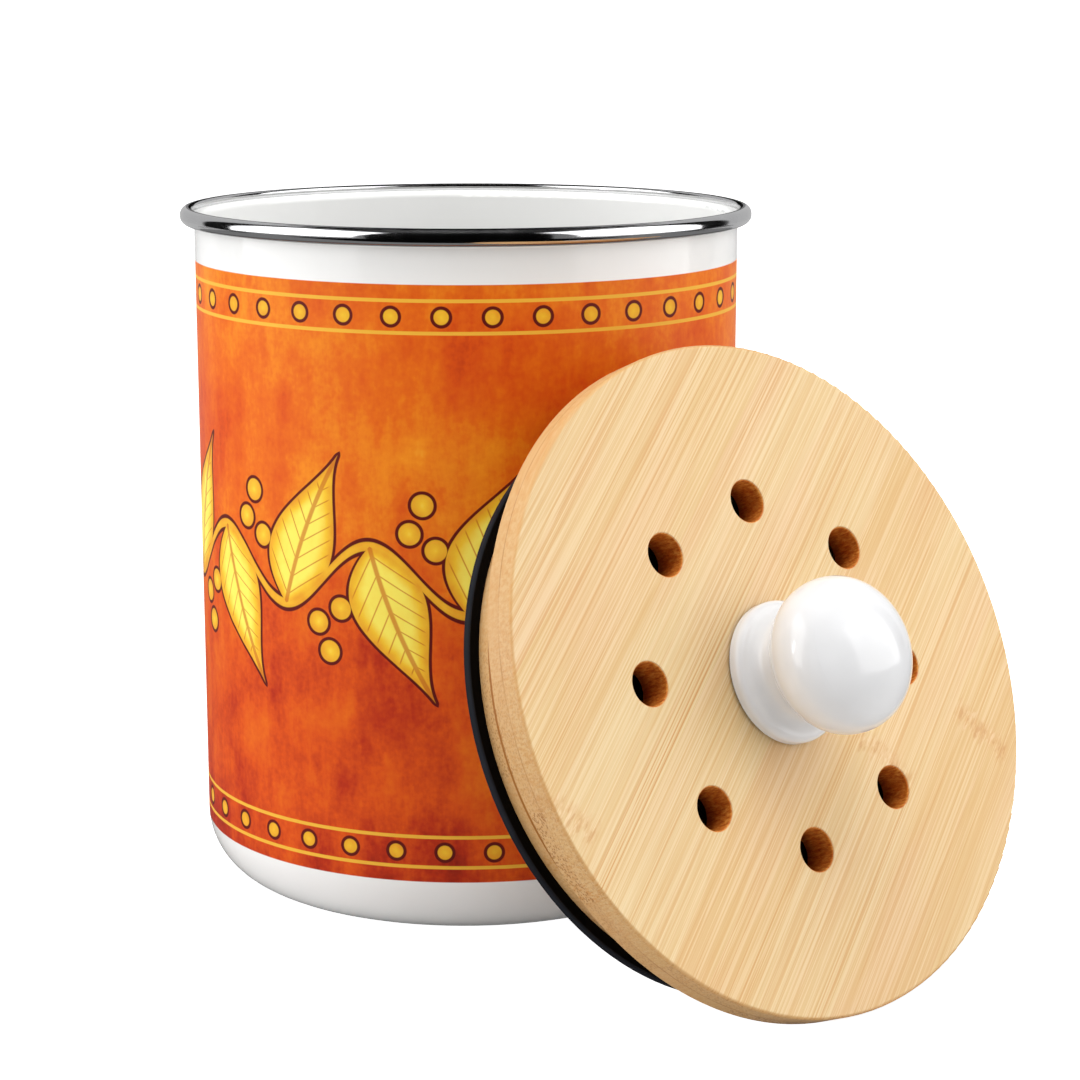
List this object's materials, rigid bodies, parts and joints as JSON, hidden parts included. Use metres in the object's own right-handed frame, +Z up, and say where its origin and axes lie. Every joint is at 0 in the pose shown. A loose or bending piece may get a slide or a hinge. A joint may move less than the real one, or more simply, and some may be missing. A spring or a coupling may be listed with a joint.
{
  "type": "kitchen compost caddy",
  "caption": "Cylindrical enamelled steel kitchen caddy with a steel rim band and a round vented bamboo lid with ceramic knob, silicone seal and charcoal filter, lid leaning beside it.",
  "frame": {"origin": "centre of the canister's base, on the surface that it stands on", "axes": "+Z up along the canister's axis; -Y is the front, from which the caddy is seen; the lid stands in front and to the right, towards -Y and +X"},
  "size_m": [0.2285, 0.2526, 0.193],
  "materials": {
    "enamel": "glossy vitreous enamel, white with a printed colour band",
    "rim_steel": "polished stainless steel",
    "bamboo": "sanded and lightly oiled bamboo",
    "silicone": "matt black silicone",
    "charcoal_felt": "needled charcoal felt",
    "grille_plastic": "satin moulded plastic",
    "screw_steel": "zinc-plated steel",
    "glazed_ceramic": "white gloss glaze",
    "insert_brass": "machined brass"
  },
  "bodies": {
    "canister": {"canister_shell": "enamel", "rim_band": "rim_steel"},
    "lid": {"lid_board": "bamboo", "lid_plug_ring": "bamboo", "seal_ring": "silicone", "filter_pad": "charcoal_felt", "filter_grille": "grille_plastic", "turn_button_screws": "screw_steel", "knob": "glazed_ceramic", "knob_cushion": "silicone", "knob_insert": "insert_brass", "knob_screw": "screw_steel", "knob_washer": "screw_steel"},
    "turn_button_1": {"turn_button_1": "grille_plastic"},
    "turn_button_2": {"turn_button_2": "grille_plastic"},
    "turn_button_3": {"turn_button_3": "grille_plastic"}
  },
  "joints": [
    {"name": "lid_lift", "type": "slide", "parent": "canister", "child": "lid", "axis": [0.6037, -0.6945, 0.3913], "range_m": [0, 0.25]},
    {"name": "turn_button_1_swivel", "type": "hinge", "parent": "lid", "child": "turn_button_1", "pos_m": [0.09597, -0.03801, 0.10268], "axis": [0.6037, -0.6945, 0.3913], "range_deg": [-90, 90]},
    {"name": "turn_button_2_swivel", "type": "hinge", "parent": "lid", "child": "turn_button_2", "pos_m": [0.00558, -0.11659, 0.10268], "axis": [0.6037, -0.6945, 0.3913], "range_deg": [-90, 90]},
    {"name": "turn_button_3_swivel", "type": "hinge", "parent": "lid", "child": "turn_button_3", "pos_m": [0.0774, -0.10794, 0.00723], "axis": [0.6037, -0.6945, 0.3913], "range_deg": [-90, 90]}
  ]
}
